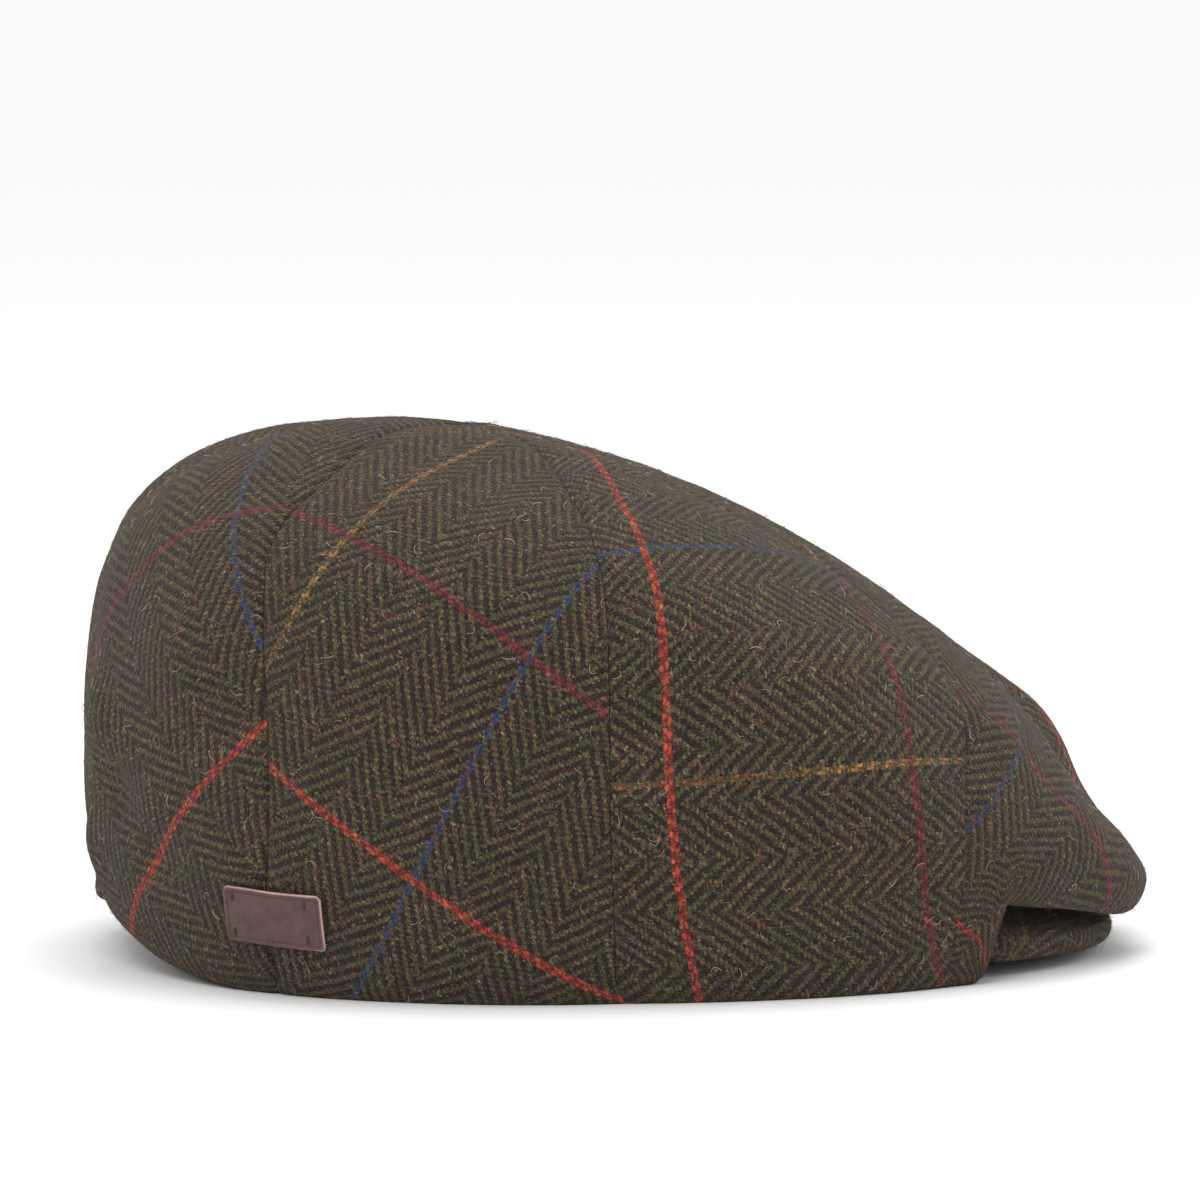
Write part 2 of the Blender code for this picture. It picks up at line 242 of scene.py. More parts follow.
def tweedMaterial(name, isPaintedShade=False):
    material, make = newMaterial(name, (0.06, 0.05, 0.04))
    t = tweed
    cloth = make.node("ShaderNodeUVMap", {"uv_map": "weave"})
    u, v = make.parts(cloth)
    driftU, driftV = make.parts(make.node("ShaderNodeTexNoise", None, {"Vector": cloth, "Scale": 150.0, "Detail": 1.0}, 1))
    frayU, frayV = make.parts(make.node("ShaderNodeTexNoise", None, {"Vector": cloth, "Scale": 1100.0, "Detail": 2.0}, 1))
    x = u / t["end"] + (driftU - 0.5) * (2.0 * t["wander"]) + (frayU - 0.5) * (2.0 * t["fray"])
    y = v / t["pick"] + (driftV - 0.5) * (2.0 * t["wander"]) + (frayV - 0.5) * (2.0 * t["fray"])
    end = x.floor()
    pick = y.floor()
    across = x.fract()
    along = y.fract()
    odd = (x / t["band"]).floor() % 2.0
    turn = 1.0 - odd * 2.0
    step = (end * turn + pick + odd * 2.0) % 4.0      # 2/2 twill, turned round in every other band
    slant = ((across - 0.5) * turn + (along - 0.5)) * t["slant"]
    weftUp = ((end * turn + pick + odd * 2.0 + slant + 0.5) % 4.0) < 2.0
    warpRun = (step - 2.0 + along) / 2.0
    weftStart = odd * (1.0 - step * 2.0) + step
    weftRun = (weftStart + across) / 2.0
    warpRound = 1.0 - (across * 2.0 - 1.0) ** 2.0
    weftRound = 1.0 - (along * 2.0 - 1.0) ** 2.0
    warpArch = (warpRun.within() * math.pi).sine()
    weftArch = (weftRun.within() * math.pi).sine()
    warpHeight = (0.35 + warpRound * 0.65) * (0.40 + warpArch * 0.60)
    weftHeight = (0.35 + weftRound * 0.65) * (0.40 + weftArch * 0.60)
    height = warpHeight + (weftHeight - warpHeight) * weftUp

    # fibres that wind round each yarn, in a coarse and a fine layer
    warpPlace = make.both(x * 3.4 + y * 1.5, y * 0.8, end)
    weftPlace = make.both(y * 3.4 + x * 1.5, x * 0.8, pick + 71.0)
    warpStrand = make.mottle(warpPlace, 1.0, 3.0, 0.7).ease(0.30, 0.70)
    weftStrand = make.mottle(weftPlace, 1.0, 3.0, 0.7).ease(0.30, 0.70)
    strand = warpStrand + (weftStrand - warpStrand) * weftUp
    haze = make.mottle(make.both(x, y, 3.0), 0.16, 3.0, 0.6)
    nap = make.mottle(cloth, 1250.0, 2.0, 0.65).ease(0.32, 0.68)

    # the two yarns, each spun from several colours
    warpTone = make.mottle(make.both(x * 0.8, y * 0.22, 5.0), 1.0, 2.0)
    weftTone = make.mottle(make.both(x * 0.22, y * 0.8, 9.0), 1.0, 2.0)
    warpColor = make.mix((warpStrand * 0.75 + warpTone * 0.5 - 0.12).within(), t["warpDark"], t["warpLight"])
    warpColor = make.mix(warpTone.ease(0.57, 0.70) * 0.6, warpColor, t["umber"])
    weftColor = make.mix((weftStrand * 0.80 + weftTone * 0.5 - 0.15).within(), t["weftDark"], t["weftLight"])
    mossShare = make.mottle(make.both(x * 0.30, y * 0.7, 21.0), 1.0, 2.0)
    weftColor = make.mix(mossShare.ease(0.50, 0.64) * 0.8, weftColor, t["moss"])
    weftColor = make.mix((0.46 - mossShare).ease(0.0, 0.12) * 0.6, weftColor, t["umber"])
    color = make.mix(weftUp, warpColor, weftColor)
    flecks = make.mottle(make.both(x * 0.50, y * 0.75, 33.0), 1.3, 1.0)
    color = make.mix(flecks.ease(0.63, 0.69) * strand * 0.75, color, t["straw"])
    color = make.mix((0.345 - flecks).ease(0.0, 0.05) * strand * 0.7, color, t["slate"])

    # overcheck: a pair of coloured yarns in each direction
    warpBlue = (end % t["blueEvery"]) < t["lineYarns"] - 0.5
    warpYellow = ((end + t["yellowBefore"]) % t["blueEvery"]) < t["lineYarns"] - 0.5
    weftOrange = (pick % t["orangeEvery"]) < t["lineYarns"] - 0.5
    weftCrimson = ((pick - t["crimsonAfter"]) % t["orangeEvery"]) < t["lineYarns"] - 0.5
    dyed = weftTone.ease(0.40, 0.62)
    orange = make.mix(dyed, t["orangeDeep"], t["orangeLine"])
    crimson = make.mix(dyed, t["crimsonDeep"], t["crimsonLine"])
    warpPaint = make.mix(warpYellow, t["blueLine"], t["yellowLine"])
    cover = nap.ease(0.0, 0.35) * 0.7 + 0.3
    fade = make.mottle(make.both(x, y, 91.0), 0.035, 1.0).ease(0.38, 0.56) * 0.62 + 0.38
    warpShown = (warpBlue + warpYellow * fade) * (1.0 - weftUp * 0.88) * (0.35 + warpStrand * 0.65)
    weftShown = (weftOrange + weftCrimson) * (0.42 + weftUp * 0.58) * (0.45 + weftStrand * 0.55)
    color = make.mix(warpShown * cover, color, warpPaint)
    color = make.mix(weftShown * cover, color, make.mix(weftCrimson, orange, crimson))

    # hairs that lie over the yarns
    color = make.mix(curls(make, cloth, 620.0, 0.1, 0.030, 0.56) * 0.45, color, (0.150, 0.125, 0.056))
    color = make.mix(curls(make, cloth, 460.0, 0.3, 0.022, 0.61) * 0.60, color, t["straw"])
    color = make.mix(curls(make, cloth, 380.0, 0.5, 0.018, 0.66) * 0.8, color, t["rust"])
    color = make.mix(curls(make, cloth, 700.0, 0.7, 0.040, 0.52) * 0.6, color, t["warpDark"])

    # painted shade: yarns are darker where they dip under each other; the whole cloth is also a little uneven in tone
    dipShade = 0.44 + height.ease(0.10, 0.75) * 0.56
    shade = dipShade * (0.80 + haze * 0.40) * (0.68 + nap * 0.64) * (0.72 + strand * 0.54)
    cast = make.mottle(make.both(x, y, 47.0), 0.11, 2.0).ease(0.35, 0.65) - 0.5
    tone = make.both(shade * (0.96 + cast * 0.22), shade * 0.93, shade * (0.99 + cast * 0.18))
    color = make.tint(1.0, color, tone)
    # painted shade: the darkened copy stands for the shade in the hollow under the roll
    if isPaintedShade:
        color = make.tint(1.0, color, t["paintedShadeTone"])
    closeMaterial(make, {
        "Base Color": color,
        "Roughness": 0.95,
        "Specular IOR Level": 0.18,
        "Sheen Weight": 0.09,
        "Sheen Roughness": 0.5,
        "Sheen Tint": (0.95, 0.84, 0.76, 1.0),
    }, height * 0.7 + strand * 0.35 + nap * 0.35, t["relief"])
    return material


# The crown's form: loops from the hem's inner edge up to the top, in shares of its length, width and height

crown = {
    "length": cadSize.x * 1.0250,      # the two end seams draw the rest of it in
    "width": cadSize.y * 1.0040,
    "height": cadSize.z * 1.0049,
    "cloth": 0.0020,
    "topHole": 0.0004,
    "endDepth": 0.0045,
    "sideDepth": 0.0012,
    "endSpread": 0.015,
    "sideSpread": 0.010,
    "seamPower": 1.3,
    "seamStart": 0.8,
    "seamFull": 2.3,
    "seamFade": 2.5,
    "cornerInner": 33.8,
    "cornerOuter": 36.2,
    "lipRise": 0.48,                   # how much more the lip lifts towards its two ends
    "rollWidth": 0.00100,
    "columns": 60,
    "rows": 176,
}
loopColumns = (
    "back", "front", "mid", "half", "backHeight", "sideHeight", "frontHeight",
    "frontSquare", "backSquare", "frontFall", "backFall", "corner", "lip",
)
loopTable = np.array((
    (-0.414, 0.325, -0.048, 0.408, 0.097, 0.026, 0.164, 2.00, 2.00, 9.0, 12.0, 1.0, 0.000),
    (-0.451, 0.400, -0.048, 0.442, 0.075, -0.006, 0.119, 2.40, 2.10, 9.0, 14.0, 1.0, 0.022),
    (-0.481, 0.474, -0.052, 0.471, 0.112, 0.052, 0.062, 2.10, 2.10, 6.0, 6.0, 0.6, 0.062),
    (-0.495, 0.499, -0.052, 0.488, 0.224, 0.201, 0.125, 2.00, 2.20, 3.0, 4.0, 0.0, 0.030),
    (-0.497, 0.482, -0.052, 0.500, 0.403, 0.388, 0.202, 2.05, 2.25, 2.2, 3.0, 0.0, 0.000),
    (-0.490, 0.440, -0.052, 0.493, 0.627, 0.575, 0.299, 2.10, 2.25, 2.0, 3.0, 0.0, 0.000),
    (-0.476, 0.389, -0.052, 0.466, 0.742, 0.701, 0.434, 2.15, 2.20, 1.8, 3.0, 0.0, 0.000),
    (-0.447, 0.322, -0.055, 0.413, 0.850, 0.795, 0.566, 2.20, 2.20, 1.6, 3.0, 0.0, 0.000),
    (-0.392, 0.224, -0.063, 0.325, 0.937, 0.875, 0.713, 2.20, 2.15, 1.5, 3.0, 0.0, 0.000),
    (-0.312, 0.100, -0.089, 0.214, 0.993, 0.936, 0.854, 2.10, 2.10, 1.5, 3.0, 0.0, 0.000),
    (-0.224, -0.018, -0.115, 0.102, 1.008, 0.978, 0.942, 2.00, 2.00, 1.5, 3.0, 0.0, 0.000),
    (-0.133, -0.133, -0.133, 0.000, 0.990, 0.990, 0.990, 2.00, 2.00, 1.5, 3.0, 0.0, 0.000),
))
topLevel = len(loopTable) - 1.0

# Seams in degrees round from the front: level, centre front, front quarter, side, rear quarter, centre back
seamTable = np.array((
    (1.0, 0.0, 39.5, 85.0, 137.0, 180.0),
    (2.0, 0.0, 41.2, 86.8, 135.0, 180.0),
    (4.0, 0.0, 41.0, 88.0, 132.5, 180.0),
    (8.0, 0.0, 30.0, 88.0, 140.0, 180.0),
    (10.5, 0.0, 25.0, 74.0, 144.0, 180.0),
))
seamDepths = np.array([crown["endDepth"], *[crown["sideDepth"]] * 3, crown["endDepth"]])
seamSpreads = np.array([crown["endSpread"], *[crown["sideSpread"]] * 3, crown["endSpread"]])
seamGaps = np.array([0.00002, 0.00006, 0.00014, 0.00014, 0.00002])
rollDepths = np.array([0.00060, 0.00010, 0.00042, 0.00050, 0.00080])      # each gore's edge turns in at its seam


def smooth(value):
    share = np.clip(value, 0.0, 1.0)
    return share * share * (3.0 - 2.0 * share)


def betweenRows(rows, place):
    # A smooth curve through the rows of a table
    last = len(rows) - 1
    place = np.clip(place, 0.0, last)
    first = np.minimum(place.astype(int), last - 1)
    part = (place - first)[(...,) + (None,) * (rows.ndim - 1)]
    low, high = rows[first], rows[first + 1]
    isFirst = (first > 0)[(...,) + (None,) * (rows.ndim - 1)]
    isLast = (first < last - 1)[(...,) + (None,) * (rows.ndim - 1)]
    before = np.where(isFirst, rows[np.maximum(first - 1, 0)], 2 * low - high)
    after = np.where(isLast, rows[np.minimum(first + 2, last)], 2 * high - low)
    square = part * part
    cube = square * part
    curve = (2 * cube - 3 * square + 1) * low + (3 * square - 2 * cube) * high
    return curve + (cube - 2 * square + part) * (high - before) / 2 + (cube - square) * (after - low) / 2


def loopAt(level):
    return dict(zip(loopColumns, np.moveaxis(betweenRows(loopTable, level), -1, 0)))


def seamsAt(level):
    angles = seamTable[0, 1:] + 0.0 * level[..., None]
    for low, high in zip(seamTable[:-1], seamTable[1:]):
        share = smooth((level - low[0]) / (high[0] - low[0]))
        angles = angles + (high[1:] - low[1:]) * share[..., None]
    return angles


def loopRadius(angle, loop):
    ahead, aside = np.cos(angle), np.sin(angle)
    inFront = ahead > 0
    reach = np.where(inFront, loop["front"] - loop["mid"], loop["mid"] - loop["back"])
    reach = np.maximum(reach * crown["length"], 1e-6)
    half = np.maximum(loop["half"] * crown["width"], 1e-6)
    power = np.where(inFront, loop["frontSquare"], loop["backSquare"])
    return ((np.abs(ahead) / reach) ** power + (np.abs(aside) / half) ** power) ** (-1.0 / power)


def plainCrown(angle, level):
    loop = loopAt(level)
    radius = loopRadius(angle, loop)
    ahead, aside = np.cos(angle), np.sin(angle)
    turned = np.abs(np.degrees(np.arctan2(aside, ahead)))
    corner = smooth((crown["cornerOuter"] - turned) / (crown["cornerOuter"] - crown["cornerInner"]))
    forward = np.maximum(ahead, 0.0) ** loop["frontFall"]
    forward = forward + (corner - forward) * loop["corner"]
    aside = turned / crown["cornerInner"]
    lift = loop["lip"] * corner * (smooth(aside) + crown["lipRise"] * np.minimum(aside, 1.0) ** 3)
    backward = np.maximum(-ahead, 0.0) ** loop["backFall"]
    height = loop["sideHeight"] + (loop["frontHeight"] - loop["sideHeight"]) * forward
    height = height + (loop["backHeight"] - loop["sideHeight"]) * backward + lift
    x = loop["mid"] * crown["length"] + radius * ahead
    return np.stack([x, radius * np.sin(angle), height * crown["height"]], -1)


def outward(angle, level):
    step = 1e-3
    around = plainCrown(angle + step, level) - plainCrown(angle - step, level)
    above = plainCrown(angle, np.minimum(level + step, topLevel))
    up = above - plainCrown(angle, np.maximum(level - step, 0.0))
    normal = np.cross(around, up)
    return normal / np.maximum(np.linalg.norm(normal, axis=-1, keepdims=True), 1e-12)


def seamDistances(angle, level):
    turned = np.abs(np.degrees(np.arctan2(np.sin(angle), np.cos(angle))))
    radius = loopRadius(angle, loopAt(level))
    return np.radians(np.abs(turned[..., None] - seamsAt(level))) * radius[..., None]


def seamDraw(angle, level):
    drawn = (seamDepths * np.exp(-((seamDistances(angle, level) / seamSpreads) ** crown["seamPower"]))).sum(-1)
    start = np.clip((level - crown["seamStart"]) / (crown["seamFull"] - crown["seamStart"]), 0.0, 1.0)
    return drawn * start * np.clip((topLevel - level) / crown["seamFade"], 0.0, 1.0)


folds = {
    "soft": 0.00085,          # slow unevenness of the cloth
    "softSize": 0.034,
    "small": 0.00028,
    "smallSize": 0.011,
    "pucker": 0.00045,        # ripples where a seam gathers the cloth
    "puckerSize": 0.0085,
    "puckerReach": 0.007,
}
# Single lumps and creases: side (-1 the wearer's right), degrees from the front, level, reach across in metres,
# reach up in levels, slant in levels for each metre across, height in metres
lumps = (
    (-1, 163.0, 4.35, 0.010, 0.35, 9.0, 0.0035),
    (-1, 159.0, 3.75, 0.009, 0.32, 9.0, -0.0028),
    (-1, 172.0, 3.60, 0.005, 0.90, 0.0, -0.0026),
    (-1, 168.0, 3.05, 0.006, 0.45, -6.0, 0.0022),
    (-1, 150.0, 3.10, 0.010, 0.30, -8.0, -0.0017),
    (-1, 146.0, 5.20, 0.012, 0.60, 0.0, 0.0014),
    (-1, 33.0, 5.60, 0.014, 0.55, 6.0, 0.0018),
    (-1, 21.0, 4.30, 0.012, 0.55, -8.0, 0.0014),
    (-1, 12.0, 5.20, 0.009, 0.50, 0.0, -0.0015),
    (1, 8.0, 5.70, 0.013, 0.90, 0.0, 0.0052),
    (1, 15.0, 4.60, 0.012, 0.50, 6.0, -0.0010),
    (1, 160.0, 4.00, 0.010, 0.40, 8.0, 0.0013),
    (1, 168.0, 3.20, 0.007, 0.50, -6.0, -0.0010),
    (1, 120.0, 3.40, 0.014, 0.45, 5.0, 0.0007),
    (1, 60.0, 4.80, 0.016, 0.50, 5.0, -0.0006),
    (1, 171.0, 1.85, 0.007, 0.32, 0.0, 0.0034),
)


def noiseAt(points, size, shift):
    flat = points.reshape(-1, 3) / size + shift
    return np.array([noise.noise(Vector(p)) for p in flat]).reshape(points.shape[:-1])


def lumpsAt(angle, level, side):
    turned = np.degrees(angle)
    radius = loopRadius(angle, loopAt(level))
    height = 0.0 * level
    for onSide, middle, middleLevel, reach, reachUp, slant, rise in lumps:
        if onSide == side:
            across = np.radians(turned - middle) * radius
            up = level - middleLevel - slant * across
            height = height + rise * np.exp(-((across / reach) ** 2) - (up / reachUp) ** 2)
    return height


def drape(angle, level, side):
    # The outer side of the cloth with its seams, folds and turned edges
    mirror = np.array([1.0, side, 1.0])
    plain = plainCrown(angle, level)
    normal = outward(angle, level)
    place = plain * mirror
    distances = seamDistances(angle, level)
    distance = distances.min(-1)
    calm = smooth(level / 2.5) * smooth((topLevel - level) / 1.5)
    wave = folds["soft"] * noiseAt(place, folds["softSize"], 3.0)
    wave = wave + folds["small"] * noiseAt(place, folds["smallSize"], 11.0)
    gather = np.exp(-(distance / folds["puckerReach"]) ** 2)
    wave = wave + folds["pucker"] * gather * noiseAt(place * np.array([0.4, 0.4, 1.0]), folds["puckerSize"], 7.0)
    wave = wave + lumpsAt(angle, level, side)
    edge = (rollDepths * np.exp(-(distances / crown["rollWidth"]) ** 2)).sum(-1) * smooth(level / 1.5)
    shift = wave * calm - seamDraw(angle, level) - edge
    points = (plain + normal * shift[..., None]) * mirror
    points[..., 2] = np.maximum(points[..., 2], 0.0)
    return points


def flatCloth(points, rounds=1500):
    # Lays a piece of the crown flat: its edges and diagonals find their real lengths on a table
    middle = points.shape[1] // 2
    spine = np.linalg.norm(np.diff(points[:, middle], axis=0), axis=-1)
    rise = np.concatenate(([0.0], np.cumsum(spine)))
    across = np.linalg.norm(np.diff(points, axis=1), axis=-1)
    out = np.concatenate((np.zeros((len(points), 1)), np.cumsum(across, axis=1)), axis=1)
    out = out - out[:, middle:middle + 1]
    flat = np.stack([out, rise[:, None] + 0.0 * out], -1)
    pairs = []
    for down, right in ((0, 1), (1, 0), (1, 1), (1, -1)):
        first = (slice(0, len(flat) - down), slice(max(0, -right), flat.shape[1] - max(0, right)))
        second = (slice(down, len(flat)), slice(max(0, right), flat.shape[1] - max(0, -right)))
        pairs.append((first, second, np.linalg.norm(points[second] - points[first], axis=-1)))
    count = np.zeros(flat.shape[:2])
    for first, second, _ in pairs:
        count[first] += 1.0
        count[second] += 1.0
    for _ in range(rounds):
        pull = np.zeros_like(flat)
        for first, second, length in pairs:
            gap = flat[second] - flat[first]
            now = np.maximum(np.linalg.norm(gap, axis=-1), 1e-9)
            move = gap * ((now - length) / now / 2.0)[..., None]
            pull[first] += move
            pull[second] -= move
        flat = flat + pull * (1.6 / count)[..., None]
    return flat


def gridMesh(name, points, weave):
    # points and weave hold a row of values for each row of the grid; faces point out
    rows, columns = points.shape[:2]
    number = np.arange(rows * columns).reshape(rows, columns)
    corners = [number[:-1, :-1], number[:-1, 1:], number[1:, 1:], number[1:, :-1]]
    faces = np.stack([c.ravel() for c in corners], -1)
    mesh = bpy.data.meshes.new(name)
    mesh.from_pydata(points.reshape(-1, 3).tolist(), [], faces.tolist())
    layer = mesh.uv_layers.new(name="weave")
    layer.data.foreach_set("uv", weave.reshape(-1, 2)[faces.ravel()].astype(np.float32).ravel())
    mesh.shade_smooth()
    thing = bpy.data.objects.new(name, mesh)
    bpy.context.scene.collection.objects.link(thing)
    return thing


def plainMesh(thing):
    # Turns the modifiers' result into the piece's own mesh
    graph = bpy.context.evaluated_depsgraph_get()
    mesh = bpy.data.meshes.new_from_object(thing.evaluated_get(graph), preserve_all_data_layers=True, depsgraph=graph)
    thing.modifiers.clear()
    thing.data = mesh
    mesh.name = thing.name
    return thing


def closeUp(thing):
    # Merges what meets and turns every face outwards
    solid = bmesh.new()
    solid.from_mesh(thing.data)
    bmesh.ops.remove_doubles(solid, verts=solid.verts, dist=2e-6)
    ends = [edge for edge in solid.edges if edge.is_boundary]
    bmesh.ops.holes_fill(solid, edges=ends, sides=0)
    bmesh.ops.recalc_face_normals(solid, faces=solid.faces)
    solid.to_mesh(thing.data)
    solid.free()


def runTree(thing, tree, values):
    # Sets the tree's inputs by their identifiers, then keeps what it makes as a plain mesh
    step = thing.modifiers.new(tree.name, "NODES")
    step.node_group = tree
    for socket in tree.interface.items_tree:
        if socket.in_out == "INPUT" and socket.name in values:
            step[socket.identifier] = values[socket.name]
    return plainMesh(thing)


def addWall(thing, thickness, side=-1.0, inner=0):
    wall = thing.modifiers.new("wall", "SOLIDIFY")
    wall.material_offset = inner
    wall.thickness = thickness
    wall.offset = side
    wall.use_even_offset = False


goreNames = ("gore_front", "gore_front_side", "gore_rear_side", "gore_back")
grainColumns = ("warp", "weft", "bow", "bowFrom", "stretchU", "stretchV", "slideU", "slideV")
grain = {
    "gore_front_right": (35.0, -58.0, 0.0, 0.0, 1.0, 1.0, 0.0159, 0.0763),
    "gore_front_side_right": (182.5, -90.0, -2.6, -0.010, 0.896, 0.94, -0.0365, 0.0314),
    "gore_rear_side_right": (61.0, -36.6, 0.0, 0.0, 1.0, 1.0, -0.0202, 0.0488),
    "gore_back_right": (310.0, 44.0, 0.0, 0.0, 1.0, 1.0, 0.0341, 0.0521),
    "gore_front_left": (145.0, 58.0, 0.0, 0.0, 1.0, 1.0, 0.004, -0.0253),
    "gore_front_side_left": (357.5, 90.0, 2.6, -0.010, 0.896, 0.94, -0.027, 0.040),
    "gore_rear_side_left": (119.0, 36.6, 0.0, 0.0, 1.0, 1.0, 0.034, 0.003),
    "gore_back_left": (230.0, -44.0, 0.0, 0.0, 1.0, 1.0, -0.020, 0.044),
}
# The cloth is pulled at the lower outer corner of the two front gores
cornerPull = {
    "gores": ("gore_front_right", "gore_front_left"),
    "from": 0.020,
    "below": -0.012,
    "pull": -14.7,
}


def weavePlace(flat, row, name=""):
    # Where each point of the flat cloth lies in the check: across the warp, then along it
    g = dict(zip(grainColumns, row))
    warp, weft = math.radians(g["warp"]), math.radians(g["weft"])
    s, t = flat[..., 0], flat[..., 1]
    u = s * math.sin(warp) - t * math.cos(warp)
    v = t * math.cos(weft) - s * math.sin(weft) + g["bow"] * (t - g["bowFrom"]) ** 2
    if name in cornerPull["gores"]:
        outer = -s if name.endswith("right") else s
        pulled = np.maximum(outer - cornerPull["from"], 0.0) * np.maximum(cornerPull["below"] - t, 0.0)
        v = v + cornerPull["pull"] * pulled
    return np.stack([u * g["stretchU"] + g["slideU"], v * g["stretchV"] + g["slideV"]], -1)


def goreAngles(number, levels, shares, open=1.0):
    seams = np.radians(seamsAt(levels))
    loop = loopAt(levels)
    near = seams[..., number] + open * seamGaps[number] / 2 / loopRadius(seams[..., number], loop)
    far = seams[..., number + 1] - open * seamGaps[number + 1] / 2 / loopRadius(seams[..., number + 1], loop)
    return near + (far - near) * shares


def patternSize(flat):
    # Width, length and area of a gore's flat cloth
    edge = np.concatenate((flat[0, :-1], flat[:-1, -1], flat[-1, :0:-1], flat[:0:-1, 0]))
    after = np.roll(edge, -1, axis=0)
    area = abs((edge[:, 0] * after[:, 1] - after[:, 0] * edge[:, 1]).sum()) / 2
    width, length = flat.reshape(-1, 2).max(0) - flat.reshape(-1, 2).min(0)
    return (float(width), float(length)), float(area)


def buildGore(number, side, material):
    name = goreNames[number] + ("_left" if side > 0 else "_right")
    even = np.linspace(0.0, 1.0, crown["columns"] + 1)
    shares = even - 0.115 * np.sin(2.0 * math.pi * even)      # closer together beside the seams
    top = topLevel - crown["topHole"] / (loopTable[-2][3] * crown["width"])
    levels = np.linspace(0.0, top, crown["rows"] + 1)
    wideLevels = levels[:, None] + 0.0 * shares[None, :]
    points = drape(goreAngles(number, wideLevels, shares[None, :]), wideLevels, side)

    coarseShares = np.linspace(0.0, 1.0, 13)
    coarseLevels = np.linspace(0.0, top, 34)
    wide = coarseLevels[:, None] + 0.0 * coarseShares[None, :]
    coarse = plainCrown(goreAngles(number, wide, coarseShares[None, :], 0.0), wide)
    flat = flatCloth(coarse)
    cut, area = patternSize(flat)
    flat = betweenRows(flat, levels / top * 33.0)
    flat = np.moveaxis(betweenRows(np.moveaxis(flat, 1, 0), shares * 12.0), 0, 1)
    flat = flat - flat[len(flat) // 2, len(shares) // 2]
    if side < 0:
        points = points[:, ::-1]
        flat = flat[:, ::-1] * np.array([-1.0, 1.0])
    gore = gridMesh(name + "_tweed", points, weavePlace(flat, grain[name], name))
    gore.data.materials.append(material)
    return gore, name, cut, area


def buildGores(material):
    gores = []
    for number in range(len(goreNames)):
        for side in (1, -1):
            gores.append(buildGore(number, side, material))
    print("gores draped")
    return gores


# Peak: a board covered in the same cloth, from under the front hem to just behind the roll

peak = {
    "end": 32.5,              # degrees to each side
    "fullTo": 30.5,           # from here its side edges turn in
    "thickness": 0.0058,
    "round": 0.0023,          # how far the edge stands out
    "tipHeight": 0.0085,
    "sideRise": 0.0030,       # its top edge rises and its board thickens towards the two sides
    "sideThicker": 0.0015,
    "tuck": 0.0035,
    "wingTuck": 0.0030,
    "gap": 0.0004,
    "rootLevel": 0.30,
    "rollLevel": 2.0,
    "hollow": 1.0,
    "shown": 0.13,            # share of its top outside the roll
    "wave": 0.00035,
    "waveSize": 0.016,
    "columns": 110,
    "rows": 26,
    "edgeRows": 10,
    "grain": (98.0, 8.0, 0.0, 0.0, 1.0, 1.0, 0.021, -0.0055),
}


def buildPeak(material, back):
    angles = np.radians(np.linspace(-peak["end"], peak["end"], peak["columns"] + 1))
    root = plainCrown(angles, np.full(angles.shape, peak["rootLevel"]))
    root[:, 2] -= peak["gap"]
    rollLevels = np.full(angles.shape, peak["rollLevel"])
    roll = plainCrown(angles, rollLevels) - outward(angles, rollLevels) * seamDraw(angles, rollLevels)[:, None]
    ray = np.stack([np.cos(angles), np.sin(angles), 0.0 * angles], -1)
    tuck = peak["tuck"] + peak["wingTuck"] * (angles / angles[-1]) ** 2 + peak["round"]
    tip = roll - ray * tuck[:, None]
    outer = (angles / angles[-1]) ** 2
    tip[:, 2] = peak["tipHeight"] + peak["sideRise"] * outer
    share = np.linspace(0.0, 1.0, peak["rows"] + 1)[:, None]
    top = tip + (root - tip) * share[..., None]
    top[..., 2] = tip[:, 2] + (root[:, 2] - tip[:, 2]) * share ** peak["hollow"]
    top[..., 2] += peak["wave"] * noiseAt(top * np.array([1.0, 1.0, 0.0]), peak["waveSize"], 5.0) * (1.0 - share)

    # the board's half thickness runs out at its two side edges
    side = np.clip((np.degrees(np.abs(angles)) - peak["fullTo"]) / (peak["end"] - peak["fullTo"]), 0.0, 1.0)
    full = (peak["thickness"] + peak["sideThicker"] * outer) / 2
    half = full * np.sqrt(1.0 - 0.97 * side ** 2)
    up = np.array([0.0, 0.0, 1.0])
    middle = top - up * full[:, None]
    over = middle + up * half[:, None]
    under = middle - up * half[:, None]
    turns = np.radians(np.linspace(90.0, -90.0, peak["edgeRows"] + 1))[1:-1, None]
    bulge = (peak["round"] * half / full * np.cos(turns) ** 0.8)[..., None]
    edge = middle[0] + ray * bulge + up * (half * np.sin(turns))[..., None]
    points = np.concatenate((over[::-1], edge, under))

    # the cloth goes on round the edge, so its pattern does too
    length = np.linalg.norm(np.diff(points, axis=0), axis=-1)
    run = np.concatenate((np.zeros((1, len(angles))), np.cumsum(length, axis=0)))
    run = run - run[peak["rows"]]
    flat = over[0][None, :, :2] + ray[None, :, :2] * run[..., None]
    cover = gridMesh("peak_tweed", points, weavePlace(flat, peak["grain"]))
    cover.data.materials.append(material)
    cover.data.materials.append(back)
    # painted shade: the rows of the top that lie under the roll take the darkened tweed in the second slot, for the
    # shade in the hollow
    columns = peak["columns"]
    hidden = round((1.0 - peak["shown"]) * peak["rows"])
    for face in cover.data.polygons:
        face.material_index = 1 if face.index // columns < hidden else 0
    closeUp(cover)
    print("peak covered")
    return cover


# Leather tab: a plate with round corners that follows the cloth, with a pressed border and four stitches

